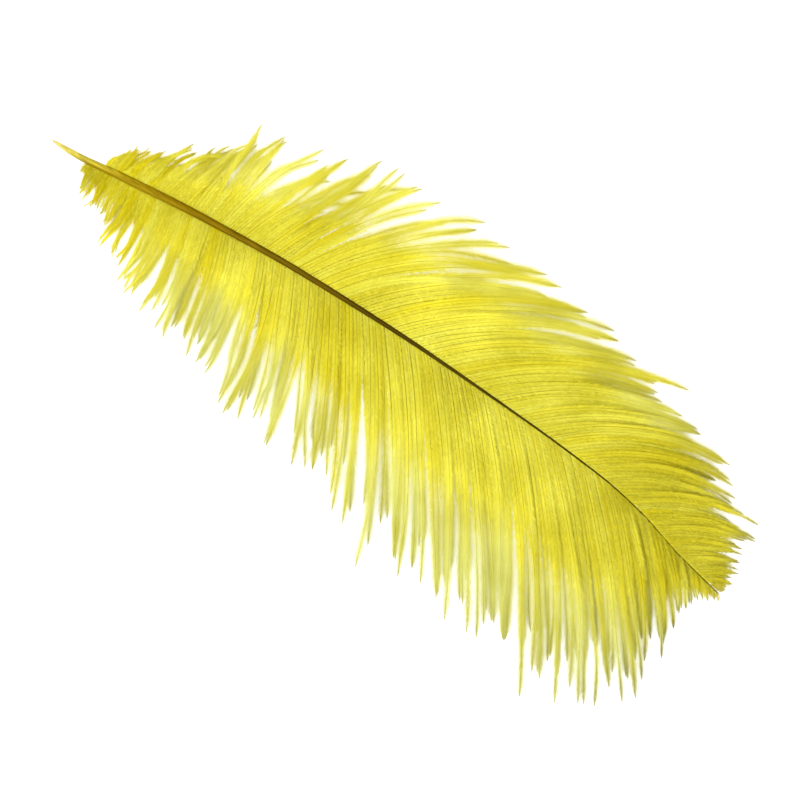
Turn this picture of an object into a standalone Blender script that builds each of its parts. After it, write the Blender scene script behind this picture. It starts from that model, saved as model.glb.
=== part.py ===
"""A dyed ostrich plume lying on its underside, with the hollow quill end at -X and the soft tip at +X.

The shaft is one tapered tube. Each vane is a sheet of barbs that parts, further out, into pointed locks.
Both vanes share one row of roots on the shaft's centre line, and the shaft is joined to them as one solid.
"""

import math
import random

import bmesh
import bpy
from mathutils import Vector

# Place of the quill's cut end, so that the origin is under the middle of the whole plume
QUILL_END = Vector((-0.1398, 0.0018, 0.0))

# Centre line of the shaft from the quill end: along the chord, across it, and height
SHAFT_LINE = (
    (0.000, 0.0000, 0.0009),
    (0.025, 0.0036, 0.0034),
    (0.060, 0.0082, 0.0077),
    (0.100, 0.0115, 0.0107),
    (0.150, 0.0128, 0.0120),
    (0.190, 0.0123, 0.0115),
    (0.222, 0.0109, 0.0098),
    (0.240, 0.0085, 0.0083),
    (0.260, 0.0036, 0.0065),
    (0.2796, 0.0001, 0.0048),
)
SHAFT_RADIUS = (
    (0.000, 0.0007),
    (0.009, 0.0011),
    (0.022, 0.0015),
    (0.045, 0.0015),
    (0.080, 0.0012),
    (0.130, 0.0010),
    (0.200, 0.0007),
    (0.2796, 0.0005),
)
SHAFT_STEPS = 36

# Barbs of each vane by root station: length, then the angle off the chord at the root and at the tip
UPPER_BARBS = (
    (0.017, 0.006, 74, 70),
    (0.030, 0.015, 78, 74),
    (0.050, 0.038, 78, 64),
    (0.085, 0.058, 70, 58),
    (0.108, 0.085, 58, 12),
    (0.155, 0.089, 49, 8),
    (0.200, 0.074, 47, 0),
    (0.230, 0.051, 44, -6),
    (0.255, 0.023, 44, -4),
    (0.277, 0.004, 40, 20),
)
LOWER_BARBS = (
    (0.017, 0.012, 84, 100),
    (0.030, 0.021, 80, 96),
    (0.050, 0.038, 72, 92),
    (0.080, 0.053, 62, 88),
    (0.110, 0.070, 56, 68),
    (0.140, 0.088, 48, 60),
    (0.185, 0.102, 43, 60),
    (0.215, 0.086, 42, 56),
    (0.245, 0.049, 41, 52),
    (0.258, 0.026, 40, 50),
    (0.277, 0.004, 38, 44),
)

# Locks: the first and last root station, how many on each side, and the rows of points from root to tip.
# Neighbours part from each other somewhere between the nearest and the furthest parting row.
FIRST_ROOT = 0.0165
LAST_ROOT = 0.2770
LOCKS_PER_SIDE = 36
ROWS = 11
NEAREST_PARTING = 4
FURTHEST_PARTING = 7
SHORTEST_LOCK = 0.82

# Depth of the vanes: thickness at the roots and tips, ridge along a lock, arch over the underside
ROOT_THICKNESS = 0.0009
TIP_THICKNESS = 0.0005
RIDGE_HEIGHT = 0.0010
ARCH_HEIGHT = 0.0060
HIGHEST_TIP = 0.0050

DYED_YELLOW = (0.74, 0.66, 0.04, 1.0)
HORN_BROWN = (0.16, 0.09, 0.015, 1.0)


def clear_scene():
    for thing in list(bpy.data.objects):
        bpy.data.objects.remove(thing, do_unlink=True)


def material(name, colour, roughness):
    made = bpy.data.materials.new(name)
    made.use_nodes = True
    shader = made.node_tree.nodes["Principled BSDF"]
    shader.inputs["Base Color"].default_value = colour
    shader.inputs["Roughness"].default_value = roughness
    shader.inputs["Metallic"].default_value = 0.0
    return made


def at_station(table, station):
    """The values of a table at a station between its rows, on a smooth curve that never overshoots them."""
    station = min(max(station, table[0][0]), table[-1][0])
    row = max(i for i in range(len(table) - 1) if table[i][0] <= station)
    start, end = table[row][0], table[row + 1][0]
    share = (station - start) / (end - start)
    values = []
    for column in range(1, len(table[0])):
        before = slope_at(table, row, column) * (end - start)
        after = slope_at(table, row + 1, column) * (end - start)
        low, high = table[row][column], table[row + 1][column]
        cubic = (2 * low + before - 2 * high + after) * share + (3 * high - 3 * low - 2 * before - after)
        values.append((cubic * share + before) * share + low)
    return values


def slope_at(table, row, column):
    """The slope of a table's column at one row, flat where the column turns round."""
    if row in (0, len(table) - 1):
        first = max(row - 1, 0)
        return rise(table, first, column)
    left, right = rise(table, row - 1, column), rise(table, row, column)
    return 0.0 if left * right <= 0 else 2 * left * right / (left + right)


def rise(table, row, column):
    return (table[row + 1][column] - table[row][column]) / (table[row + 1][0] - table[row][0])


def shaft_point(station):
    across, height = at_station(SHAFT_LINE, station)
    return Vector((station, across, height))


def barb_path(table, side, station, reach, tip_height):
    """Points of one barb from the shaft's centre line to its tip, which curves forward and droops."""
    length, root_angle, tip_angle = at_station(table, station)
    root = shaft_point(station)
    along, across = root.x, root.y
    points = [root]
    for row in range(1, ROWS + 1):
        share = row / ROWS
        angle = math.radians(root_angle + (tip_angle - root_angle) * (share - 0.5 / ROWS))
        along += math.cos(angle) * length * reach / ROWS
        across += side * math.sin(angle) * length * reach / ROWS
        arch = 4 * ARCH_HEIGHT * share * (1 - share) * min(1, length / 0.06)
        points.append(Vector((along, across, root.z + (tip_height - root.z) * share**2 + arch)))
    return points


def lock_paths(table, side, index, lock):
    """The left, middle and right paths of a lock: joined to its neighbours first, then drawn to one tip."""
    step = (LAST_ROOT - FIRST_ROOT) / LOCKS_PER_SIDE
    station = FIRST_ROOT + (index + 0.5) * step
    whole = barb_path(table, side, station, 1, lock.tip_height)
    cut = barb_path(table, side, station, lock.reach, lock.tip_height)
    middle = [whole[row].lerp(cut[row], free_share(row, NEAREST_PARTING)) for row in range(ROWS + 1)]
    paths = [middle]
    for place, way, parting in ((0, -1, lock.partings[0]), (2, 1, lock.partings[1])):
        edge = barb_path(table, side, station + way * step / 2, 1, HIGHEST_TIP / 2)
        drawn = [draw_in(edge[row], whole[row], cut[row], free_share(row, parting)) for row in range(ROWS + 1)]
        paths.insert(place, drawn)
    return paths


def free_share(row, parting):
    """How far a row is past the parting, from 0 where the locks part to 1 at their tips."""
    return max(0.0, (row - parting) / (ROWS - parting))


def draw_in(edge, whole, cut, free):
    """An edge point pulled towards the lock's middle, on a curve that keeps the lock full before its tip."""
    if free == 0:
        return edge
    target = whole.lerp(cut, free)
    return target + (edge - whole) * (1 - free) ** 0.7


class Lock:
    """One lock's share of its barbs' full length, the height of its tip, and the row where each edge parts."""

    def __init__(self, reach, tip_height, partings):
        self.reach = reach
        self.tip_height = tip_height
        self.partings = partings


def make_locks(seed):
    """The locks of one vane, uneven as in a combed plume. Every fourth tip reaches down to the surface."""
    picker = random.Random(seed)
    partings = [picker.randint(NEAREST_PARTING, FURTHEST_PARTING) for _ in range(LOCKS_PER_SIDE - 1)]
    partings = [0] + partings + [0]
    locks = []
    for index in range(LOCKS_PER_SIDE):
        reach = picker.uniform(SHORTEST_LOCK, 1.0) if index % 3 else 1.0
        lift = picker.uniform(0, HIGHEST_TIP) if index % 4 else 0.0
        locks.append(Lock(reach, TIP_THICKNESS / 2 + lift, partings[index:index + 2]))
    return locks


def thickness(row):
    return ROOT_THICKNESS + (TIP_THICKNESS - ROOT_THICKNESS) * row / ROWS


def ridge_height(row):
    return RIDGE_HEIGHT * math.sin(math.pi * row / ROWS)


class VaneSheet:
    """A closed sheet of locks. Points that neighbouring locks share are made once, above and below."""

    def __init__(self):
        self.mesh = bmesh.new()
        self.points = {}

    def pair(self, key, place, row, ridge):
        """The upper and lower point of the sheet at one place."""
        if key not in self.points:
            half = Vector((0, 0, thickness(row) / 2))
            crest = Vector((0, 0, ridge))
            above = self.mesh.verts.new(QUILL_END + place + half + crest)
            below = self.mesh.verts.new(QUILL_END + place - half)
            self.points[key] = (above, below)
        return self.points[key]

    def face(self, corners):
        kept = [c for i, c in enumerate(corners) if c is not corners[i - 1]]
        if len(kept) > 2:
            self.mesh.faces.new(kept)


def point_key(side, index, row, column, partings):
    """Names a point: roots are shared by both vanes, and joined edges by neighbouring locks."""
    if column == 1:
        return ("root middle", index) if row == 0 else (side, index, row, "middle")
    edge = index + column // 2
    if row == 0:
        return ("root edge", edge)
    if row <= partings[column // 2]:
        return (side, "joined", edge, row)
    return (side, index, row, column)


def lock_grid(sheet, side, index, lock, paths):
    """The pairs of points of a lock, row by row, three across, and one pair for all three at the tip."""
    grid = []
    for row in range(ROWS):
        pairs = []
        for column in range(3):
            key = point_key(side, index, row, column, lock.partings)
            ridge = ridge_height(row) if column == 1 else 0.0
            pairs.append(sheet.pair(key, paths[column][row], row, ridge))
        grid.append(pairs)
    tip = sheet.pair((side, index, "tip"), paths[1][ROWS], ROWS, 0.0)
    grid.append([tip, tip, tip])
    return grid


def add_lock(sheet, side, index, lock, paths):
    """One lock as strips above and below, with walls where it stands free of its neighbours."""
    grid = lock_grid(sheet, side, index, lock, paths)
    for row in range(ROWS):
        for column in range(2):
            near, far = grid[row], grid[row + 1]
            sheet.face([near[column][0], near[column + 1][0], far[column + 1][0], far[column][0]])
            sheet.face([near[column][1], far[column][1], far[column + 1][1], near[column + 1][1]])
    for column in (0, 2):
        for row in range(lock.partings[column // 2], ROWS):
            near, far = grid[row][column], grid[row + 1][column]
            sheet.face([near[0], far[0], far[1], near[1]])


def make_vanes():
    sheet = VaneSheet()
    for side, table, seed in ((1, UPPER_BARBS, 5), (-1, LOWER_BARBS, 8)):
        for index, lock in enumerate(make_locks(seed)):
            add_lock(sheet, side, index, lock, lock_paths(table, side, index, lock))
    bmesh.ops.recalc_face_normals(sheet.mesh, faces=sheet.mesh.faces)
    mesh = bpy.data.meshes.new("feather")
    sheet.mesh.to_mesh(mesh)
    sheet.mesh.free()
    mesh.shade_smooth()
    vanes = bpy.data.objects.new("feather", mesh)
    bpy.context.scene.collection.objects.link(vanes)
    return vanes


def make_shaft_form():
    """The shaft as a tapered round tube, kept as the form that is joined to the vanes."""
    curve = bpy.data.curves.new("shaft_form", "CURVE")
    curve.dimensions = "3D"
    curve.bevel_depth = 1.0
    curve.bevel_resolution = 1
    curve.use_fill_caps = True
    line = curve.splines.new("POLY")
    line.points.add(SHAFT_STEPS)
    for step, point in enumerate(line.points):
        station = SHAFT_LINE[-1][0] * step / SHAFT_STEPS
        point.co = (*(QUILL_END + shaft_point(station)), 1)
        point.radius = at_station(SHAFT_RADIUS, station)[0]
    bent = bpy.data.objects.new("shaft_curve", curve)
    bpy.context.scene.collection.objects.link(bent)
    graph = bpy.context.evaluated_depsgraph_get()
    mesh = bpy.data.meshes.new_from_object(bent.evaluated_get(graph))
    bpy.data.objects.remove(bent, do_unlink=True)
    form = bpy.data.objects.new("shaft_form", mesh)
    bpy.context.scene.collection.objects.link(form)
    form.hide_render = True
    form.display_type = "WIRE"
    return form


def join_shaft(vanes, form):
    union = vanes.modifiers.new("Shaft", "BOOLEAN")
    union.operation = "UNION"
    union.solver = "EXACT"
    union.object = form


def paint(vanes, form):
    barbs = material("dyed_barbs", DYED_YELLOW, 0.7)
    horn = material("shaft_horn", HORN_BROWN, 0.35)
    for thing, index in ((vanes, 0), (form, 1)):
        thing.data.materials.clear()
        thing.data.materials.append(barbs)
        thing.data.materials.append(horn)
        for face in thing.data.polygons:
            face.material_index = index


clear_scene()
feather = make_vanes()
shaft = make_shaft_form()
paint(feather, shaft)
join_shaft(feather, shaft)
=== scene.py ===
import math

import bpy
import numpy as np
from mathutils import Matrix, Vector


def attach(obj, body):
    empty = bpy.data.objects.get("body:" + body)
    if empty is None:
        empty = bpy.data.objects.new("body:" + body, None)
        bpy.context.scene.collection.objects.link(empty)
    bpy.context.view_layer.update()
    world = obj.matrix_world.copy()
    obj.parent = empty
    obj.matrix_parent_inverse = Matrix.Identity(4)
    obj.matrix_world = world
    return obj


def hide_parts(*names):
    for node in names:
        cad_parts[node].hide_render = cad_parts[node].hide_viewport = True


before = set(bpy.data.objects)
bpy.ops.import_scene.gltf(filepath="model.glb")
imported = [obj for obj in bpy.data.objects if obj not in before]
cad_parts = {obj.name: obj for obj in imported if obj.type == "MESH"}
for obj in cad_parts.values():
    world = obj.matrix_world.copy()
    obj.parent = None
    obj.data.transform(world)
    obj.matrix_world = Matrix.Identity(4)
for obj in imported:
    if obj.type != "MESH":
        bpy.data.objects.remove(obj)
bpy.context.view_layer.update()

scene = bpy.context.scene

# The view. The plume is seen from straight above through a long lens, its shaft running down to the right.
# One pixel of the picture covers about a third of a millimetre of the surface that the plume lies on.
PIXEL = 0.000346
PICTURE_SIDE = 800
QUILL_PIXEL = (50, 141)
SHAFT_SLOPE = math.radians(34.12)
QUILL_END = Vector((-0.1398, 0.0018, 0.0))
CAMERA_HEIGHT = 1.5
PLUME_MIDDLE = 0.008
SENSOR = 36.0

right = (PICTURE_SIDE / 2 - QUILL_PIXEL[0]) * PIXEL
down = (PICTURE_SIDE / 2 - QUILL_PIXEL[1]) * PIXEL
camera_data = bpy.data.cameras.new("camera")
camera_data.sensor_width = SENSOR
camera_data.lens = SENSOR * CAMERA_HEIGHT / (PICTURE_SIDE * PIXEL)
camera = bpy.data.objects.new("camera", camera_data)
camera.location = (
    QUILL_END.x + math.cos(SHAFT_SLOPE) * right + math.sin(SHAFT_SLOPE) * down,
    QUILL_END.y + math.sin(SHAFT_SLOPE) * right - math.cos(SHAFT_SLOPE) * down,
    CAMERA_HEIGHT + PLUME_MIDDLE,
)
camera.rotation_euler = (0, 0, SHAFT_SLOPE)
scene.collection.objects.link(camera)
scene.camera = camera
scene.view_settings.view_transform = "Standard"

# The studio. A white table top and an even white room light, with one large soft lamp on the lower left.
# The table looks evenly white to the camera, as on a light table, so the gaps between the locks stay clean.
TABLE_SIDE = 6.0
TABLE_GREY = 0.6
TABLE_GLOW = 0.15
TABLE_GLOW_SEEN = 0.8
ROOM_STRENGTH = 0.58
LAMP_SIDE = 1.2
LAMP_POWER = 50.0
LAMP_PLACE = Vector((-0.40, -0.55, 2.2))

room = bpy.data.worlds.new("room")
room.use_nodes = True
room.node_tree.nodes["Background"].inputs["Color"].default_value = (1.0, 1.0, 1.0, 1.0)
room.node_tree.nodes["Background"].inputs["Strength"].default_value = ROOM_STRENGTH
scene.world = room

lamp_data = bpy.data.lights.new("soft_lamp", "AREA")
lamp_data.size = LAMP_SIDE
lamp_data.energy = LAMP_POWER
lamp = bpy.data.objects.new("soft_lamp", lamp_data)
lamp.location = LAMP_PLACE
lamp.rotation_euler = (-LAMP_PLACE).to_track_quat("-Z", "Y").to_euler()
scene.collection.objects.link(lamp)

table_paint = bpy.data.materials.new("table_top")
table_paint.use_nodes = True
table_shader = table_paint.node_tree.nodes["Principled BSDF"]
table_shader.inputs["Base Color"].default_value = (TABLE_GREY, TABLE_GREY, TABLE_GREY, 1.0)
table_shader.inputs["Roughness"].default_value = 0.8
table_shader.inputs["Emission Color"].default_value = (1.0, 1.0, 1.0, 1.0)
seen = table_paint.node_tree.nodes.new("ShaderNodeLightPath")
glow = table_paint.node_tree.nodes.new("ShaderNodeMapRange")
glow.inputs["To Min"].default_value = TABLE_GLOW
glow.inputs["To Max"].default_value = TABLE_GLOW_SEEN
table_paint.node_tree.links.new(seen.outputs["Is Camera Ray"], glow.inputs["Value"])
table_paint.node_tree.links.new(glow.outputs["Result"], table_shader.inputs["Emission Strength"])

half = TABLE_SIDE / 2
table_corners = [(-half, -half, 0), (half, -half, 0), (half, half, 0), (-half, half, 0)]
table_mesh = bpy.data.meshes.new("table_top")
table_mesh.from_pydata(table_corners, [], [(0, 1, 2, 3)])
table_mesh.materials.append(table_paint)
table_top = bpy.data.objects.new("table_top", table_mesh)
scene.collection.objects.link(table_top)

# The shaft: one horn rod that starts as the bare, hollow quill and narrows to a hair at the plume's tip.
# It grew flattened and grooved along its face; its centre line is an easy arch that the barbs grow from.
# Along the shaft: how far the centre line bows towards the upper vane, and its height over the table.
SHAFT_LINE = (
    (0.000, 0.0007, 0.0009),
    (0.008, 0.0010, 0.0017),
    (0.025, 0.0034, 0.0034),
    (0.060, 0.0079, 0.0077),
    (0.100, 0.0112, 0.0107),
    (0.150, 0.0126, 0.0120),
    (0.190, 0.0122, 0.0115),
    (0.222, 0.0109, 0.0098),
    (0.240, 0.0085, 0.0083),
    (0.260, 0.0036, 0.0065),
    (0.2796, 0.0001, 0.0048),
)
# Along the shaft: half its width, half its depth, and how deep the groove in its face is.
SHAFT_FORM = (
    (0.000, 0.00040, 0.00036, 0.00000),
    (0.003, 0.00072, 0.00060, 0.00000),
    (0.008, 0.00105, 0.00085, 0.00000),
    (0.022, 0.00130, 0.00120, 0.00004),
    (0.034, 0.00145, 0.00130, 0.00008),
    (0.055, 0.00132, 0.00120, 0.00012),
    (0.080, 0.00110, 0.00105, 0.00018),
    (0.110, 0.00096, 0.00095, 0.00022),
    (0.135, 0.00078, 0.00080, 0.00020),
    (0.165, 0.00056, 0.00060, 0.00012),
    (0.200, 0.00036, 0.00042, 0.00004),
    (0.2796, 0.00018, 0.00024, 0.00000),
)
SHAFT_RINGS = 280
SHAFT_SIDES = 20
SHAFT_SQUARENESS = 0.8
GROOVE_REACH = 0.38
# Painted shade: the brown laid along the shaft's lower side, where it meets the lower barbs.
SHADE_SIDE_BROWN = (0.28, 0.19, 0.004)


def through(table, stations):
    """A table's columns at the stations, on smooth curves that never overshoot its rows."""
    rows = np.array(table, float)
    stations = np.clip(np.asarray(stations, float), rows[0, 0], rows[-1, 0])
    gaps = np.diff(rows[:, 0])
    found = []
    for values in rows[:, 1:].T:
        rises = np.diff(values) / gaps
        slopes = np.concatenate([rises[:1], np.zeros(len(rises) - 1), rises[-1:]])
        for i in range(1, len(rises)):
            if rises[i - 1] * rises[i] > 0:
                slopes[i] = 2 * rises[i - 1] * rises[i] / (rises[i - 1] + rises[i])
        at = np.clip(np.searchsorted(rows[:, 0], stations, "right") - 1, 0, len(gaps) - 1)
        share = (stations - rows[at, 0]) / gaps[at]
        low, high = values[at], values[at + 1]
        start, end = slopes[at] * gaps[at], slopes[at + 1] * gaps[at]
        cubic = (2 * low + start - 2 * high + end) * share + (3 * high - 3 * low - 2 * start - end)
        found.append((cubic * share + start) * share + low)
    return found


def shaft_points(stations):
    across, height = through(SHAFT_LINE, stations)
    return np.stack([QUILL_END.x + np.asarray(stations), QUILL_END.y + across, height], axis=-1)


def add_object(name, mesh, *materials):
    for material in materials:
        mesh.materials.append(material)
    made = bpy.data.objects.new(name, mesh)
    scene.collection.objects.link(made)
    return made


def new_material(name):
    made = bpy.data.materials.new(name)
    made.use_nodes = True
    return made, made.node_tree.nodes, made.node_tree.links, made.node_tree.nodes["Principled BSDF"]


def shaft_mesh():
    """Rings of a flattened oval with a groove along its top, closed at both ends."""
    stations = np.linspace(0, SHAFT_LINE[-1][0], SHAFT_RINGS)
    centre = shaft_points(stations)
    ahead = np.gradient(centre, axis=0)
    ahead /= np.linalg.norm(ahead, axis=1)[:, None]
    side = np.cross([0.0, 0.0, 1.0], ahead)
    side /= np.linalg.norm(side, axis=1)[:, None]
    above = np.cross(ahead, side)
    width, depth, groove = through(SHAFT_FORM, stations)
    turns = np.arange(SHAFT_SIDES) / SHAFT_SIDES * 2 * math.pi
    across = np.sign(np.cos(turns)) * np.abs(np.cos(turns)) ** SHAFT_SQUARENESS
    up = np.sin(turns)
    dip = np.exp(-((across / GROOVE_REACH) ** 2)) * (up > 0)
    points = (
        centre[:, None]
        + side[:, None] * (width[:, None] * across)[..., None]
        + above[:, None] * (depth[:, None] * up - groove[:, None] * dip)[..., None]
    ).reshape(-1, 3)
    faces = []
    for ring in range(SHAFT_RINGS - 1):
        for i in range(SHAFT_SIDES):
            a, b = ring * SHAFT_SIDES + i, ring * SHAFT_SIDES + (i + 1) % SHAFT_SIDES
            faces.append((a, a + SHAFT_SIDES, b + SHAFT_SIDES, b))
    faces.append(tuple(range(SHAFT_SIDES)))
    faces.append(tuple(range(SHAFT_SIDES * SHAFT_RINGS - 1, SHAFT_SIDES * (SHAFT_RINGS - 1) - 1, -1)))
    mesh = bpy.data.meshes.new("shaft")
    mesh.from_pydata(points.tolist(), [], faces)
    spots = mesh.attributes.new("station", "FLOAT", "POINT")
    spots.data.foreach_set("value", np.repeat(stations / SHAFT_LINE[-1][0], SHAFT_SIDES).astype(np.float32))
    sides = mesh.attributes.new("across", "FLOAT", "POINT")
    sides.data.foreach_set("value", np.tile(across, SHAFT_RINGS).astype(np.float32))
    mesh.shade_smooth()
    return mesh


def ramp(nodes, stops):
    made = nodes.new("ShaderNodeValToRGB")
    elements = made.color_ramp.elements
    while len(elements) < len(stops):
        elements.new(0.5)
    for element, (place, colour) in zip(elements, stops):
        element.position = place
        element.color = (*colour, 1.0)
    return made


def attribute(nodes, name):
    made = nodes.new("ShaderNodeAttribute")
    made.attribute_name = name
    return made


def mix(nodes, links, factor, first, second, blend="MIX"):
    """A colour mix. Each argument is a socket or a plain value."""
    made = nodes.new("ShaderNodeMix")
    made.data_type = "RGBA"
    made.blend_type = blend
    for socket, value in ((made.inputs[0], factor), (made.inputs[6], first), (made.inputs[7], second)):
        if isinstance(value, bpy.types.NodeSocket):
            links.new(value, socket)
        else:
            socket.default_value = value if isinstance(value, float) else (*value, 1.0)
    return made.outputs[2]


def horn_material():
    """Dyed horn: yellow at the quill, with painted shade in brown along its lower side where the barbs
    start, dark brown further on.
    """
    made, nodes, links, shader = new_material("dyed_horn_painted_shade")
    station = attribute(nodes, "station")
    body = ramp(nodes, (
        (0.00, (0.80, 0.70, 0.24)),
        (0.03, (0.62, 0.53, 0.08)),
        (0.075, (0.50, 0.40, 0.024)),
        (0.10, (0.33, 0.23, 0.004)),
        (0.19, (0.205, 0.128, 0.001)),
        (0.32, (0.125, 0.076, 0.001)),
        (0.46, (0.055, 0.030, 0.001)),
        (0.62, (0.060, 0.040, 0.002)),
        (0.80, (0.075, 0.055, 0.002)),
        (1.00, (0.12, 0.09, 0.004)),
    ))
    links.new(station.outputs["Fac"], body.inputs["Fac"])
    place = nodes.new("ShaderNodeTexCoord")
    stretch = nodes.new("ShaderNodeMapping")
    stretch.inputs["Scale"].default_value = (60, 1600, 1600)
    links.new(place.outputs["Object"], stretch.inputs["Vector"])
    streaks = nodes.new("ShaderNodeTexNoise")
    streaks.inputs["Scale"].default_value = 1.0
    streaks.inputs["Detail"].default_value = 3.0
    links.new(stretch.outputs["Vector"], streaks.inputs["Vector"])
    streak_tone = ramp(nodes, ((0.3, (0.60, 0.58, 0.50)), (0.7, (1.30, 1.27, 1.2))))
    links.new(streaks.outputs["Fac"], streak_tone.inputs["Fac"])
    streaked = mix(nodes, links, 1.0, body.outputs["Color"], streak_tone.outputs["Color"], "MULTIPLY")
    # Painted shade: the lower side of the shaft is painted brown from the neck of the quill to about a
    # fifth of its length.
    across = attribute(nodes, "across")
    shaded_side = nodes.new("ShaderNodeMapRange")
    shaded_side.inputs["From Min"].default_value = 0.0
    shaded_side.inputs["From Max"].default_value = -0.6
    links.new(across.outputs["Fac"], shaded_side.inputs["Value"])
    neck = ramp(nodes, (
        (0.032, (0.0, 0.0, 0.0)),
        (0.052, (1.0, 1.0, 1.0)),
        (0.12, (1.0, 1.0, 1.0)),
        (0.20, (0.0, 0.0, 0.0)),
    ))
    links.new(station.outputs["Fac"], neck.inputs["Fac"])
    side_shade = nodes.new("ShaderNodeMath")
    side_shade.operation = "MULTIPLY"
    links.new(shaded_side.outputs["Result"], side_shade.inputs[0])
    links.new(neck.outputs["Color"], side_shade.inputs[1])
    side_shaded = mix(nodes, links, side_shade.outputs["Value"], streaked, SHADE_SIDE_BROWN)
    links.new(side_shaded, shader.inputs["Base Color"])
    shader.inputs["Roughness"].default_value = 0.33
    shader.inputs["Specular IOR Level"].default_value = 0.08
    shader.inputs["Specular Tint"].default_value = (1.0, 0.84, 0.14, 1.0)
    bump = nodes.new("ShaderNodeBump")
    bump.inputs["Strength"].default_value = 0.25
    bump.inputs["Distance"].default_value = 0.0001
    links.new(streaks.outputs["Fac"], bump.inputs["Height"])
    links.new(bump.outputs["Normal"], shader.inputs["Normal"])
    return made


shaft = add_object("shaft", shaft_mesh(), horn_material())
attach(shaft, "root")
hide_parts("feather")

# The vanes: hundreds of soft dyed barbs that grow from the shaft in two rows, each fringed on both sides
# with fine barbules. They lie as an even web by the shaft, and further out they gather into pointed locks.
# By root station on the shaft: length of a barb, and its angle to the shaft at its root and at its tip.
UPPER_BARBS = (
    (0.017, 0.0050, 86, 70),
    (0.022, 0.0115, 84, 62),
    (0.027, 0.0150, 80, 56),
    (0.040, 0.0250, 80, 58),
    (0.056, 0.038, 86, 82),
    (0.070, 0.047, 76, 58),
    (0.088, 0.060, 69, 50),
    (0.108, 0.082, 58, 14),
    (0.155, 0.084, 49, 8),
    (0.200, 0.068, 47, 0),
    (0.225, 0.053, 44, -3),
    (0.240, 0.044, 43, 2),
    (0.250, 0.035, 42, 6),
    (0.262, 0.023, 40, 16),
    (0.277, 0.006, 38, 26),
)
LOWER_BARBS = (
    (0.014, 0.0040, 88, 92),
    (0.020, 0.0130, 86, 90),
    (0.030, 0.0220, 80, 86),
    (0.050, 0.040, 73, 90),
    (0.080, 0.054, 62, 86),
    (0.110, 0.073, 56, 68),
    (0.140, 0.094, 48, 60),
    (0.185, 0.101, 43, 60),
    (0.215, 0.085, 42, 56),
    (0.245, 0.046, 41, 52),
    (0.258, 0.025, 40, 50),
    (0.277, 0.004, 38, 44),
)
# How a vane lies, by root station: gap to the next root, width of a lock, how far locks turn (degrees),
# how closely a lock's tips draw together, share of a barb where its lock parts, share where its web opens
# into loose fringe, length of that fringe, how plainly the rami show, depth of the painted valley shade,
# dull tips.
UPPER_LIE = (
    (0.0205, 0.00038, 0.0015, 15.0, 0.75, 0.12, 0.30, 0.60, 0.05, 0.40, 0.00),
    (0.035, 0.00046, 0.0020, 15.0, 0.75, 0.18, 0.30, 0.65, 0.10, 0.40, 0.05),
    (0.060, 0.00080, 0.0026, 11.0, 0.70, 0.32, 0.34, 0.90, 0.50, 0.40, 0.05),
    (0.100, 0.00130, 0.0032, 5.5, 0.55, 0.46, 0.44, 1.00, 0.85, 0.45, 0.04),
    (0.140, 0.00140, 0.0040, 2.6, 0.40, 0.60, 0.58, 1.00, 0.90, 0.38, 0.05),
    (0.180, 0.00145, 0.0040, 2.2, 0.42, 0.64, 0.74, 0.95, 0.80, 0.50, 0.10),
    (0.230, 0.00145, 0.0034, 2.0, 0.50, 0.62, 0.92, 0.85, 0.60, 0.85, 0.60),
    (0.255, 0.00125, 0.0030, 2.2, 0.60, 0.55, 0.90, 0.65, 0.60, 0.90, 0.80),
    (0.277, 0.00100, 0.0022, 4.0, 0.70, 0.40, 0.80, 0.50, 0.50, 0.90, 1.00),
)
LOWER_LIE = (
    (0.014, 0.00038, 0.0015, 15.0, 0.75, 0.12, 0.30, 0.60, 0.05, 0.40, 0.05),
    (0.035, 0.00046, 0.0020, 13.0, 0.75, 0.18, 0.30, 0.65, 0.10, 0.40, 0.15),
    (0.060, 0.00076, 0.0024, 7.5, 0.72, 0.40, 0.38, 0.90, 0.45, 0.34, 0.08),
    (0.100, 0.00115, 0.0030, 3.8, 0.66, 0.56, 0.50, 1.00, 0.80, 0.40, 0.04),
    (0.150, 0.00120, 0.0034, 3.0, 0.62, 0.60, 0.54, 1.00, 0.90, 0.40, 0.05),
    (0.200, 0.00125, 0.0036, 2.6, 0.56, 0.64, 0.58, 1.00, 0.80, 0.46, 0.40),
    (0.240, 0.00120, 0.0034, 2.6, 0.56, 0.60, 0.64, 0.85, 0.70, 0.60, 0.90),
    (0.277, 0.00100, 0.0024, 4.0, 0.60, 0.40, 0.60, 0.50, 0.60, 0.70, 1.00),
)
LAST_ROOT = 0.2790
BARB_POINTS = 30
PAIRED_BARBS = 0.60
LONE_BARBS = 0.07
LOCK_REACH = (0.92, 1.06)
DOWNY_REACH = (-0.14, 0.10)
EDGE_SHORTER = 0.20
LOCK_JOINED = 0.90
PAIR_JOINED = 0.78
FRINGE_LENGTH = 0.0075
FRINGE_BY_REST = 0.74
SHORTEST_FRINGE = 0.0006
ARCH_HEIGHT = 0.0060
TIP_HEIGHT = 0.0012
LOWEST = 0.0006
MIDDLE_TINT = 0.62
PIECES_PER_VANE = ("base", "middle", "tip")


def smoothstep(x):
    x = np.clip(x, 0, 1)
    return x * x * (3 - 2 * x)


def sweep(table, side, stations, reach, turn):
    """Paths of barbs from their stations on the shaft; turn is added to each one's angle by its tip."""
    length, root_angle, tip_angle = through(table, stations)
    width, depth, _ = through(SHAFT_FORM, stations)
    share = (np.arange(1, BARB_POINTS) - 0.5) / (BARB_POINTS - 1)
    angle = np.radians(root_angle[:, None] + (tip_angle - root_angle + turn)[:, None] * share)
    length = length * reach
    step = (length / (BARB_POINTS - 1))[:, None]
    root = shaft_points(stations)
    plan = np.zeros((len(stations), BARB_POINTS, 2))
    plan[:, 1:, 0] = np.cumsum(np.cos(angle) * step, axis=1)
    plan[:, 1:, 1] = np.cumsum(side * np.sin(angle) * step, axis=1)
    plan += root[:, None, :2]
    plan[:, :, 1] += (side * 0.6 * width)[:, None]
    return plan, root[:, 2] - 0.2 * depth, length


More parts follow.
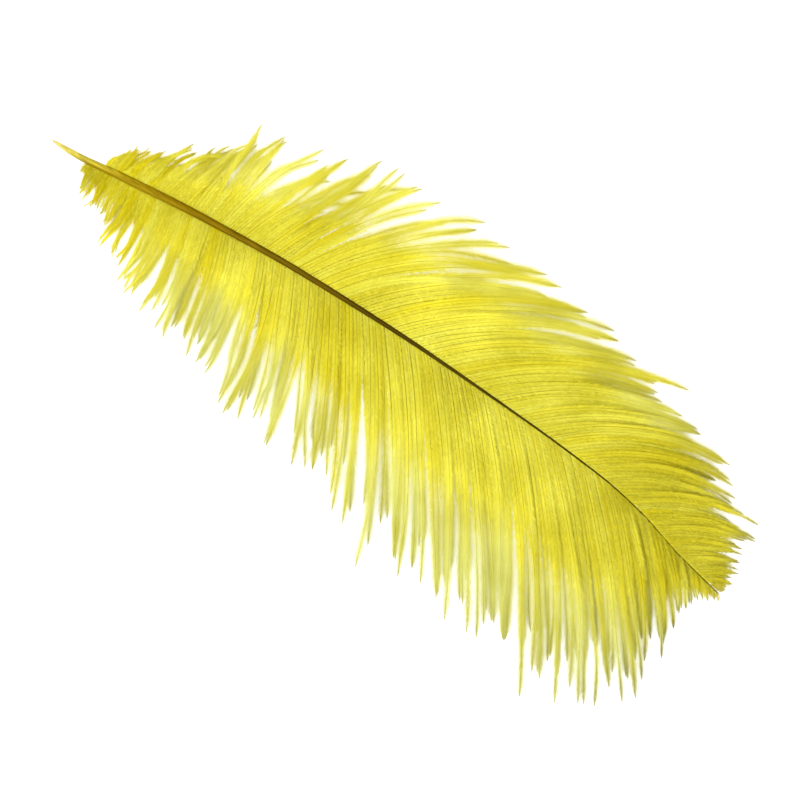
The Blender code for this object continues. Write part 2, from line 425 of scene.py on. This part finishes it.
def gathered(plan, group, begin, end, pull):
    """The paths drawn towards the mean path of their group, between two shares of their length."""
    total = np.zeros((group.max() + 1, *plan.shape[1:]))
    np.add.at(total, group, plan)
    mean = total / np.bincount(group)[:, None, None]
    share = np.linspace(0, 1, BARB_POINTS)
    drawn = smoothstep((share - begin[:, None]) / (end - begin[:, None])) * pull[:, None]
    return plan + (mean[group] - plan) * drawn[..., None]


def cut(plan, reach):
    """The paths kept from their roots up to a share of their length."""
    place = reach[:, None] * np.arange(BARB_POINTS)
    low = np.minimum(place.astype(int), BARB_POINTS - 2)
    rows = np.arange(len(plan))[:, None]
    return plan[rows, low] + (plan[rows, low + 1] - plan[rows, low]) * (place - low)[..., None]


def swayed(plan, pick, size, waves):
    """The paths bent sideways in slow waves that grow towards the tip."""
    count = len(plan)
    share = np.linspace(0, 1, BARB_POINTS)
    ahead = np.gradient(plan, axis=1)
    ahead /= np.linalg.norm(ahead, axis=2)[..., None] + 1e-12
    beside = np.stack([-ahead[..., 1], ahead[..., 0]], axis=-1)
    cycles = pick.uniform(*waves, count)[:, None]
    phase = pick.uniform(0, 2 * math.pi, count)[:, None]
    wave = np.sin(2 * math.pi * cycles * share + phase) - np.sin(phase) * (1 - share)
    return plan + beside * (size[:, None] * share * wave)[..., None]


# kept_dye is how much of the full dye a vane's loose fringe keeps.
def vane_guides(table, lie, side, seed, kept_dye):
    """Centre lines of one vane's barbs, gathered into locks, with what each barb's fringe is like."""
    pick = np.random.default_rng(seed)
    stations = [lie[0][0]]
    while stations[-1] < LAST_ROOT:
        gap = through(lie, [stations[-1]])[0][0]
        stations.append(stations[-1] + gap * pick.uniform(0.65, 1.35))
    stations = np.array(stations[:-1])
    count = len(stations)
    _, span, loose, pull, part, web, fringe, plain, valley_shade, dull = through(lie, stations)
    strides = np.diff(stations, prepend=stations[0]) / span * pick.uniform(0.4, 1.6, count)
    lock = np.unique(np.cumsum(strides).astype(int), return_inverse=True)[1]
    locks = lock.max() + 1
    apart = (np.diff(lock, prepend=lock[0]) > 0) | (pick.random(count) < 1 - PAIRED_BARBS)
    pair = np.unique(np.cumsum(apart), return_inverse=True)[1]
    loner = pick.random(count) < LONE_BARBS
    first = np.searchsorted(lock, np.arange(locks))
    members = np.bincount(lock)[lock]
    aside = np.abs(2 * (np.arange(count) - first[lock] + 0.5) / members - 1)
    aside *= np.minimum(1, (members - 1) / 2)
    downy = 1 - smoothstep((stations - 0.03) / 0.04)
    reach = pick.uniform(*LOCK_REACH, locks)[lock] + downy * pick.uniform(*DOWNY_REACH, locks)[lock]
    ragged = 0.18 + 0.2 * smoothstep((stations - 0.24) / 0.03)
    kept = 1 - EDGE_SHORTER * aside**1.5 - ragged * pick.random(count)
    turn = loose * (pick.normal(0, 1, locks)[lock] + loner * pick.normal(0, 1.6, count))
    turn += (0.4 * loose + 0.8) * pick.normal(0, 1, count)
    plan, base, length = sweep(table, side, stations, reach, turn)
    begin = part + pick.uniform(-0.1, 0.1, locks)[lock]
    hold = np.where(loner, 0.0, pull)
    plan = gathered(plan, lock, begin, LOCK_JOINED, pick.uniform(0.4, 1.0, locks)[lock] * hold)
    pair_hold = np.minimum(pick.uniform(0.6, 1.5, count) * hold, 0.95)
    plan = gathered(plan, pair, begin, PAIR_JOINED, pair_hold)
    scale = np.minimum(1, length / 0.06)
    lock_swing = swayed(plan, np.random.default_rng(seed + 50), 0.00016 * loose * scale, (0.5, 1.2))
    shift = lock_swing - plan
    plan = plan + shift[first][lock]
    plan = cut(swayed(plan, pick, (0.00014 + 0.00007 * loose) * scale, (0.8, 2.4)), kept)
    length = length * kept
    share = np.linspace(0, 1, BARB_POINTS)
    tip_height = TIP_HEIGHT + pick.uniform(0, 0.004, locks)[lock]
    height = base[:, None] + (tip_height - base)[:, None] * share**2
    height += 4 * ARCH_HEIGHT * share * (1 - share) * scale[:, None]
    height += pick.uniform(-0.0018, 0.0032, locks)[lock][:, None] * smoothstep(share / 0.8)
    height += pick.normal(0, 0.00045, count)[:, None] * smoothstep(share * 3)
    points = np.concatenate([plan, np.maximum(height, LOWEST)[..., None]], axis=-1)
    ageing = 0.22 * smoothstep((stations - 0.17) / 0.10) + 0.40 * (1 - smoothstep(stations / 0.07))
    by_lock = (0.10 + 0.20 * downy) * pick.normal(0, 1, locks)[lock]
    tint = np.clip(MIDDLE_TINT - ageing + by_lock + pick.normal(0, 0.15, count), 0, 1)
    closed = 1 - smoothstep((share - 0.6 * web[:, None]) / 0.45)
    gone = share * length[:, None]
    rest = (1 - share) * length[:, None]
    tip_dull = dull[:, None] * smoothstep((share - 0.75) / 0.25)
    columns = {
        "along": np.tile(share, (count, 1)),
        "closed": closed,
        "rich": np.maximum(np.maximum(closed, kept_dye), 0.9 * downy[:, None]),
        "room": (FRINGE_BY_REST * rest + SHORTEST_FRINGE) * (0.75 + 0.25 * smoothstep(gone / 0.003)),
        # Painted shade: how much each barbule is darkened towards its outer end, in the valleys between
        # barbs.
        "valley_shade": valley_shade[:, None] * np.maximum(closed, downy[:, None]),
        "dull": np.maximum(tip_dull, 0.4 * smoothstep((share - 0.9) / 0.1)),
    }
    for name, values in (
        ("tint", tint),
        ("shown", plain * np.clip(pick.normal(0.72, 0.35, count), 0, 1)),
        ("stout", (0.55 + 0.45 * plain) * pick.uniform(0.75, 1.25, count)),
        ("filmed", smoothstep(length / 0.015)),
        ("fringe", fringe * pick.uniform(0.85, 1.1, count)),
    ):
        columns[name] = np.repeat(values[:, None], BARB_POINTS, axis=1)
    return points, columns


def guide_object(name, points, columns):
    """A mesh of bare edges along the barbs, which the growth tree reads."""
    count = len(points)
    mesh = bpy.data.meshes.new(name)
    start = np.arange(count)[:, None] * BARB_POINTS + np.arange(BARB_POINTS - 1)
    edges = np.stack([start, start + 1], axis=-1).reshape(-1, 2)
    mesh.from_pydata(points.reshape(-1, 3).tolist(), edges.tolist(), [])
    for key, values in columns.items():
        spots = mesh.attributes.new(key, "FLOAT", "POINT")
        spots.data.foreach_set("value", values.ravel().astype(np.float32))
    return add_object(name, mesh)


def barbule_form(name, points, faces):
    """A barbule of unit length along X: a thin flat sliver that ends in a point."""
    mesh = bpy.data.meshes.new(name)
    mesh.from_pydata(points, [], faces)
    outer = mesh.attributes.new("outer", "FLOAT", "POINT")
    outer.data.foreach_set("value", [point[0] for point in points])
    form = add_object(name, mesh)
    form.hide_render = True
    return form


def growth_tree():
    """Grows a tapered ramus along each guide, a film of web below it, and barbules to either side of it."""
    tree = bpy.data.node_groups.new("barb_growth", "GeometryNodeTree")
    face = tree.interface
    face.new_socket("Geometry", in_out="OUTPUT", socket_type="NodeSocketGeometry")
    face.new_socket("Guides", in_out="INPUT", socket_type="NodeSocketGeometry")
    for name, kind, value in (
        ("Ramus Radius", "Float", 0.00014),
        ("Web Half Width", "Float", 0.00085),
        ("Web Drop", "Float", -0.0004),
        ("Web Spacing", "Float", 0.00026),
        ("Web Length", "Float", 0.0026),
        ("Web Spread", "Float", 0.66),
        ("Fringe Spacing", "Float", 0.000068),
        ("Fringe Length", "Float", FRINGE_LENGTH),
        ("Fringe Spread", "Float", 0.32),
        ("Roof Slope", "Float", 0.34),
        ("Table Height", "Float", 0.0002),
        ("Seed", "Int", 1),
        ("Web Barbule", "Object", None),
        ("Fringe Barbule", "Object", None),
        ("Ramus Material", "Material", None),
        ("Barbule Material", "Material", None),
    ):
        socket = face.new_socket(name, in_out="INPUT", socket_type="NodeSocket" + kind)
        if value is not None:
            socket.default_value = value
    nodes, links = tree.nodes, tree.links
    inputs = nodes.new("NodeGroupInput").outputs
    output = nodes.new("NodeGroupOutput")

    def add(kind, **settings):
        made = nodes.new(kind)
        for key, value in settings.items():
            setattr(made, key, value)
        return made

    def join(source, socket):
        if isinstance(source, bpy.types.NodeSocket):
            links.new(source, socket)
        else:
            socket.default_value = source

    def maths(operation, first, second=0.0):
        made = add("ShaderNodeMath", operation=operation)
        join(first, made.inputs[0])
        join(second, made.inputs[1])
        return made.outputs[0]

    def vector(x, y, z):
        made = add("ShaderNodeCombineXYZ")
        for socket, value in zip(made.inputs, (x, y, z)):
            join(value, socket)
        return made.outputs["Vector"]

    def named(name):
        made = add("GeometryNodeInputNamedAttribute", data_type="FLOAT")
        made.inputs["Name"].default_value = name
        return made.outputs["Attribute"]

    def between(low, high, share):
        made = add("ShaderNodeMix", data_type="FLOAT")
        join(share, made.inputs[0])
        join(low, made.inputs[2])
        join(high, made.inputs[3])
        return made.outputs[0]

    def random(low, high, seed):
        made = add("FunctionNodeRandomValue", data_type="FLOAT")
        join(low, made.inputs[2])
        join(high, made.inputs[3])
        join(maths("ADD", inputs["Seed"], float(seed)), made.inputs["Seed"])
        return made.outputs[1]

    def curve(stops, value):
        made = add("ShaderNodeFloatCurve")
        line = made.mapping.curves[0]
        while len(line.points) < len(stops):
            line.points.new(0.5, 0.5)
        for point, place in zip(line.points, stops):
            point.location = place
        made.mapping.update()
        join(value, made.inputs["Value"])
        return made.outputs["Value"]

    def painted(geometry, material):
        made = add("GeometryNodeSetMaterial")
        join(geometry, made.inputs["Geometry"])
        join(inputs[material], made.inputs["Material"])
        return made.outputs["Geometry"]

    def moved(geometry, offset):
        made = add("GeometryNodeSetPosition")
        join(geometry, made.inputs["Geometry"])
        join(offset, made.inputs["Offset"])
        return made.outputs["Geometry"]

    def shaded(geometry, domain, value):
        made = add("GeometryNodeStoreNamedAttribute", data_type="FLOAT", domain=domain)
        join(geometry, made.inputs["Geometry"])
        made.inputs["Name"].default_value = "shade"
        join(value, made.inputs["Value"])
        return made.outputs["Geometry"]

    barbs = add("GeometryNodeMeshToCurve")
    join(inputs["Guides"], barbs.inputs["Mesh"])
    along, closed = named("along"), named("closed")
    both = add("GeometryNodeJoinGeometry")

    ring = add("GeometryNodeCurvePrimitiveCircle")
    ring.inputs["Resolution"].default_value = 3
    ring.inputs["Radius"].default_value = 1.0
    rami = add("GeometryNodeCurveToMesh")
    thin = curve(((0.0, 1.0), (0.3, 0.8), (0.6, 0.45), (1.0, 0.2)), along)
    join(barbs.outputs["Curve"], rami.inputs["Curve"])
    join(ring.outputs["Curve"], rami.inputs["Profile Curve"])
    radius = maths("MULTIPLY", maths("MULTIPLY", inputs["Ramus Radius"], thin), named("stout"))
    join(radius, rami.inputs["Scale"])
    rami.inputs["Fill Caps"].default_value = True
    join(painted(rami.outputs["Mesh"], "Ramus Material"), both.inputs["Geometry"])

    level = add("GeometryNodeSetCurveNormal", mode="Z_UP")
    join(barbs.outputs["Curve"], level.inputs["Curve"])
    flat = add("GeometryNodeCurvePrimitiveLine")
    flat.inputs["Start"].default_value = (-1.0, 0.0, 0.0)
    flat.inputs["End"].default_value = (1.0, 0.0, 0.0)
    film = add("GeometryNodeCurveToMesh")
    join(level.outputs["Curve"], film.inputs["Curve"])
    join(flat.outputs["Curve"], film.inputs["Profile Curve"])
    filmed = maths("MINIMUM", maths("SUBTRACT", maths("MULTIPLY", closed, 2.0), 0.5), 1.0)
    filmed = maths("MULTIPLY", filmed, named("filmed"))
    join(maths("MULTIPLY", inputs["Web Half Width"], maths("MAXIMUM", filmed, 0.02)), film.inputs["Scale"])
    trimmed = add("GeometryNodeDeleteGeometry", domain="FACE")
    join(film.outputs["Mesh"], trimmed.inputs["Geometry"])
    join(maths("LESS_THAN", filmed, 0.05), trimmed.inputs["Selection"])
    lowered = moved(trimmed.outputs["Geometry"], vector(0.0, 0.0, inputs["Web Drop"]))
    # Painted shade: the film under the barbules is painted darker, as the shaded inside of the web.
    join(painted(shaded(lowered, "POINT", 0.2), "Barbule Material"), both.inputs["Geometry"])

    heading = add("FunctionNodeAxesToRotation", primary_axis="X", secondary_axis="Z")
    join(add("GeometryNodeInputTangent").outputs["Tangent"], heading.inputs["Primary Axis"])
    heading.inputs["Secondary Axis"].default_value = (0.0, 0.0, 1.0)
    growth = add("GeometryNodeJoinGeometry")
    narrow = curve(((0.0, 0.55), (0.06, 0.95), (0.2, 1.0), (0.6, 1.0), (1.0, 0.75)), along)
    for kind, seed in (("Web", 100), ("Fringe", 200)):
        steps = add("GeometryNodeResampleCurve", mode="LENGTH")
        join(barbs.outputs["Curve"], steps.inputs["Curve"])
        join(inputs[kind + " Spacing"], steps.inputs["Length"])
        form = add("GeometryNodeObjectInfo")
        join(inputs[kind + " Barbule"], form.inputs["Object"])
        mirrored = add("GeometryNodeFlipFaces")
        join(form.outputs["Geometry"], mirrored.inputs["Mesh"])
        roots = moved(steps.outputs["Curve"], (0.0, 0.0, -0.00014))
        if kind == "Web":
            chosen = maths("LESS_THAN", random(0.25, 0.65, seed), closed)
            spread, long = inputs["Web Spread"], inputs["Web Length"]
        else:
            chosen = maths("GREATER_THAN", random(0.80, 1.0, seed), closed)
            spread = between(inputs["Fringe Spread"], inputs["Web Spread"], closed)
            loose = maths("MULTIPLY", inputs["Fringe Length"], named("fringe"))
            long = between(loose, inputs["Web Length"], closed)
        spread = maths("MULTIPLY", maths("MULTIPLY", spread, narrow), named("fringe"))
        for side, sliver in ((1, form.outputs["Geometry"]), (-1, mirrored.outputs["Mesh"])):
            slope = maths("MULTIPLY", inputs["Roof Slope"], float(-side))
            lean = maths("ADD", slope, random(-0.35, 0.35, seed + 10 + side))
            lift = random(-0.14, 0.11, seed + 20 + side)
            stray = random(between(-0.6, -0.2, closed), 0.3, seed + 30 + side)
            out = maths("MULTIPLY", spread, maths("ADD", 1.0, stray))
            turn = add("FunctionNodeEulerToRotation")
            join(vector(lean, lift, maths("MULTIPLY", out, float(side))), turn.inputs["Euler"])
            placed = add("FunctionNodeRotateRotation", rotation_space="LOCAL")
            join(heading.outputs["Rotation"], placed.inputs["Rotation"])
            join(turn.outputs["Rotation"], placed.inputs["Rotate By"])
            wish = maths("MULTIPLY", long, random(0.65, 1.15, seed + 40 + side))
            size = maths("MINIMUM", wish, named("room"))
            planted = add("GeometryNodeInstanceOnPoints")
            join(roots, planted.inputs["Points"])
            join(chosen, planted.inputs["Selection"])
            join(sliver, planted.inputs["Instance"])
            join(placed.outputs["Rotation"], planted.inputs["Rotation"])
            wide = between(size, inputs["Fringe Length"], 0.75) if kind == "Fringe" else size
            join(vector(size, maths("MULTIPLY", wide, float(side)), size), planted.inputs["Scale"])
            tone = random(0.0, 1.0, seed + 50 + side)
            join(shaded(planted.outputs["Instances"], "INSTANCE", tone), growth.inputs["Geometry"])
    real = add("GeometryNodeRealizeInstances")
    join(growth.outputs["Geometry"], real.inputs["Geometry"])
    join(painted(real.outputs["Geometry"], "Barbule Material"), both.inputs["Geometry"])

    place = add("ShaderNodeSeparateXYZ")
    join(add("GeometryNodeInputPosition").outputs["Position"], place.inputs["Vector"])
    height = maths("MAXIMUM", place.outputs["Z"], inputs["Table Height"])
    lifted = vector(place.outputs["X"], place.outputs["Y"], height)
    resting = add("GeometryNodeSetPosition")
    join(both.outputs["Geometry"], resting.inputs["Geometry"])
    join(lifted, resting.inputs["Position"])
    join(resting.outputs["Geometry"], output.inputs["Geometry"])
    return tree


def keep_used_materials(mesh):
    """Leaves out the empty material slots that realizing the barbules can add."""
    old = list(mesh.materials)
    used = [material for material in old if material]
    numbers = np.zeros(len(mesh.polygons), np.int32)
    mesh.polygons.foreach_get("material_index", numbers)
    mesh.materials.clear()
    for material in used:
        mesh.materials.append(material)
    renumber = np.array([used.index(material) if material else 0 for material in old], np.int32)
    mesh.polygons.foreach_set("material_index", renumber[numbers])


def grown(guides, tree, name, settings):
    """The tree's result on the guides, as a plain mesh object of its own."""
    modifier = guides.modifiers.new("growth", "NODES")
    modifier.node_group = tree
    for socket in tree.interface.items_tree:
        if socket.in_out == "INPUT" and socket.name in settings:
            modifier[socket.identifier] = settings[socket.name]
    graph = bpy.context.evaluated_depsgraph_get()
    result = guides.evaluated_get(graph)
    mesh = bpy.data.meshes.new_from_object(result, preserve_all_data_layers=True, depsgraph=graph)
    bpy.data.objects.remove(guides, do_unlink=True)
    keep_used_materials(mesh)
    mesh.name = name
    made = bpy.data.objects.new(name, mesh)
    scene.collection.objects.link(made)
    return made


DEEP_DYE = (0.835, 0.758, 0.014)
PALE_DYE = (0.895, 0.877, 0.12)
BARE_RAMUS = (0.32, 0.25, 0.005)
RAMUS_TIP = (0.30, 0.26, 0.010)
BARBULE_TIP = (0.33, 0.30, 0.014)


def dye_and_shade_group():
    """The dye, in soft patches: deeper in some locks and duller at the tips, with painted light on the
    ridges by the rami and painted shade in the valleys between barbs.
    """
    tree = bpy.data.node_groups.new("soft_dye_and_shade", "ShaderNodeTree")
    for name in ("Deep", "Pale", "Bare", "Tip"):
        tree.interface.new_socket(name, in_out="INPUT", socket_type="NodeSocketColor")
    tree.interface.new_socket("Bare Share", in_out="INPUT", socket_type="NodeSocketFloat")
    tree.interface.new_socket("Color", in_out="OUTPUT", socket_type="NodeSocketColor")
    nodes, links = tree.nodes, tree.links
    inputs = nodes.new("NodeGroupInput").outputs

    def product(first, second):
        made = nodes.new("ShaderNodeMath")
        made.operation = "MULTIPLY"
        links.new(first, made.inputs[0])
        links.new(second, made.inputs[1])
        return made.outputs["Value"]

    def toned(colour, value, *stops):
        tone = ramp(nodes, stops)
        links.new(value, tone.inputs["Fac"])
        return mix(nodes, links, 1.0, colour, tone.outputs["Color"], "MULTIPLY")

    def spot(name):
        return attribute(nodes, name).outputs["Fac"]

    place = nodes.new("ShaderNodeTexCoord")
    patches = nodes.new("ShaderNodeTexNoise")
    patches.inputs["Scale"].default_value = 45.0
    patches.inputs["Detail"].default_value = 2.0
    links.new(place.outputs["Object"], patches.inputs["Vector"])
    colour = mix(nodes, links, spot("tint"), inputs["Deep"], inputs["Pale"])
    colour = mix(nodes, links, product(spot("shown"), inputs["Bare Share"]), colour, inputs["Bare"])
    colour = mix(nodes, links, spot("dull"), colour, inputs["Tip"])
    colour = toned(colour, spot("shade"), (0.0, (0.86, 0.845, 0.72)), (1.0, (1.08, 1.08, 1.14)))
    colour = toned(colour, patches.outputs["Fac"], (0.30, (0.88, 0.86, 0.60)), (0.70, (1.05, 1.06, 1.4)))
    colour = toned(colour, spot("rich"), (0.0, (0.83, 0.87, 2.4)), (0.8, (1.0, 1.0, 1.0)))
    # Painted light and shade: a barbule is painted brighter at its ramus, on the ridge, and darker towards
    # its outer end, in the valley between barbs.
    valley_shading = product(spot("outer"), spot("valley_shade"))
    colour = toned(colour, valley_shading, (0.0, (1.20, 1.20, 1.20)), (0.7, (0.62, 0.60, 0.45)))
    links.new(colour, nodes.new("NodeGroupOutput").inputs["Color"])
    return tree


def soft_material(name, dye_and_shade, tip, bare_share, roughness, see_through):
    """Dyed barb that lets some light through, coloured by the dye group with its painted light and shade.
    """
    made, nodes, links, shader = new_material(name)
    dyed = nodes.new("ShaderNodeGroup")
    dyed.node_tree = dye_and_shade
    for socket, colour in (("Deep", DEEP_DYE), ("Pale", PALE_DYE), ("Bare", BARE_RAMUS), ("Tip", tip)):
        dyed.inputs[socket].default_value = (*colour, 1.0)
    dyed.inputs["Bare Share"].default_value = bare_share
    links.new(dyed.outputs["Color"], shader.inputs["Base Color"])
    shader.inputs["Roughness"].default_value = roughness
    shader.inputs["Specular IOR Level"].default_value = 0.3
    shader.inputs["Specular Tint"].default_value = (1.0, 0.95, 0.35, 1.0)
    glow = nodes.new("ShaderNodeBsdfTranslucent")
    links.new(dyed.outputs["Color"], glow.inputs["Color"])
    blend = nodes.new("ShaderNodeMixShader")
    blend.inputs["Fac"].default_value = see_through
    links.new(shader.outputs["BSDF"], blend.inputs[1])
    links.new(glow.outputs["BSDF"], blend.inputs[2])
    links.new(blend.outputs["Shader"], nodes["Material Output"].inputs["Surface"])
    return made


soft_dye_and_shade = dye_and_shade_group()
ramus_paint = soft_material("dyed_ramus", soft_dye_and_shade, RAMUS_TIP, 1.0, 0.45, 0.1)
barbule_paint = soft_material("dyed_barbule_painted_shade", soft_dye_and_shade, BARBULE_TIP, 0.0, 0.55, 0.32)
web_points = [(0, 0, 0), (0.45, 0.005, 0.04), (1.0, 0, -0.05), (0.5, 0.095, 0.04)]
web_barbule = barbule_form("web_barbule", web_points, [(0, 1, 3), (1, 2, 3)])
fringe_points = [(0, -0.003, 0), (1.0, 0.0, 0.01), (0, 0.003, 0)]
fringe_barbule = barbule_form("fringe_barbule", fringe_points, [(0, 1, 2)])
barb_growth = growth_tree()

for vane, side, table, lie, seed, kept_dye in (
    ("upper_vane", 1, UPPER_BARBS, UPPER_LIE, 3, 0.5),
    ("lower_vane", -1, LOWER_BARBS, LOWER_LIE, 4, 0.0),
):
    points, columns = vane_guides(table, lie, side, seed, kept_dye)
    grown_length = np.cumsum(np.linalg.norm(np.diff(points, axis=1), axis=2).sum(axis=1))
    thirds = grown_length / grown_length[-1] * len(PIECES_PER_VANE)
    part_of = np.minimum(thirds, len(PIECES_PER_VANE) - 1).astype(int)
    for i, part in enumerate(PIECES_PER_VANE):
        own = part_of == i
        guides = guide_object("guides", points[own], {key: values[own] for key, values in columns.items()})
        piece = grown(guides, barb_growth, vane + "_" + part, {
            "Seed": seed * 1000 + i * 100,
            "Web Barbule": web_barbule,
            "Fringe Barbule": fringe_barbule,
            "Ramus Material": ramus_paint,
            "Barbule Material": barbule_paint,
        })
        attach(piece, "root")
        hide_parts("feather")
for form in (web_barbule, fringe_barbule):
    bpy.data.objects.remove(form, do_unlink=True)
